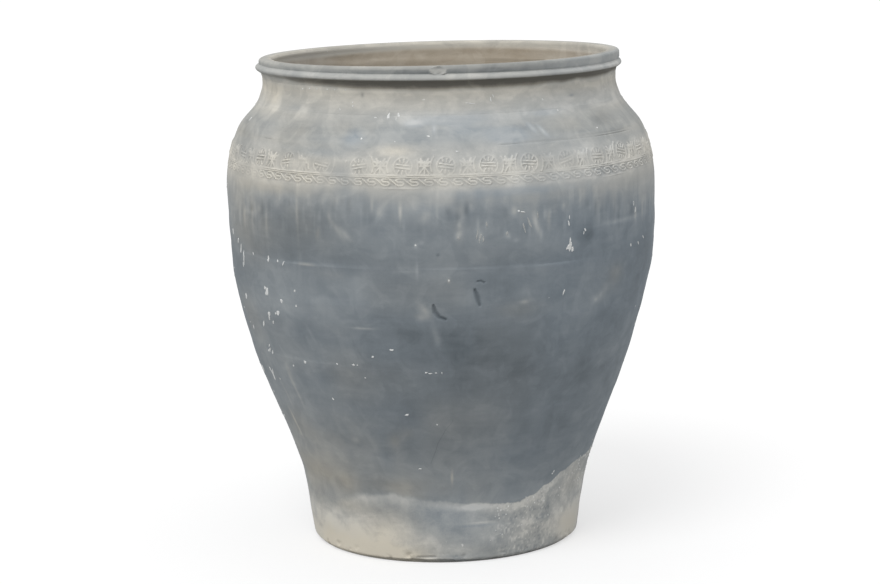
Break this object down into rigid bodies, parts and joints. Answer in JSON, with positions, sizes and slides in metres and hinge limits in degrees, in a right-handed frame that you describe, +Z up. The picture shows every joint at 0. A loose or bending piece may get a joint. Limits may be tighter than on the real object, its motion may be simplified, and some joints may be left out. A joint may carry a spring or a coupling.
{
  "type": "storage jar",
  "caption": "Large open-mouthed grey earthenware storage jar with a beaded rim, a stamped shoulder band and a flat slab base, coil-built in courses.",
  "frame": {"origin": "middle of the underside of the base slab", "axes": "+Z up along the jar's axis, -Y towards the side that the picture shows"},
  "size_m": [0.615, 0.615, 0.7],
  "materials": {
    "foot_clay": "matte unglazed, pale beige and grey patches, scuffed base edge",
    "inner_clay": "matte unglazed, brownish inside",
    "body_clay": "matte unglazed blue-grey, streaked and limed",
    "stamped_clay": "matte unglazed, stamped in low relief, worn cream on grey",
    "shoulder_clay": "matte unglazed pale grey, dusty"
  },
  "bodies": {
    "root": {"base_slab": "foot_clay", "foot_course": "foot_clay", "floor_fillet_coil": "inner_clay", "lower_wall_course": "body_clay", "middle_wall_course": "body_clay", "upper_wall_course": "body_clay", "lower_belly_course": "body_clay", "middle_belly_course": "body_clay", "belly_seam_course": "body_clay", "upper_belly_course": "body_clay", "stamped_band_course": "stamped_clay", "shoulder_course": "shoulder_clay", "neck_collar": "shoulder_clay", "rim_roll": "shoulder_clay"}
  },
  "joints": []
}
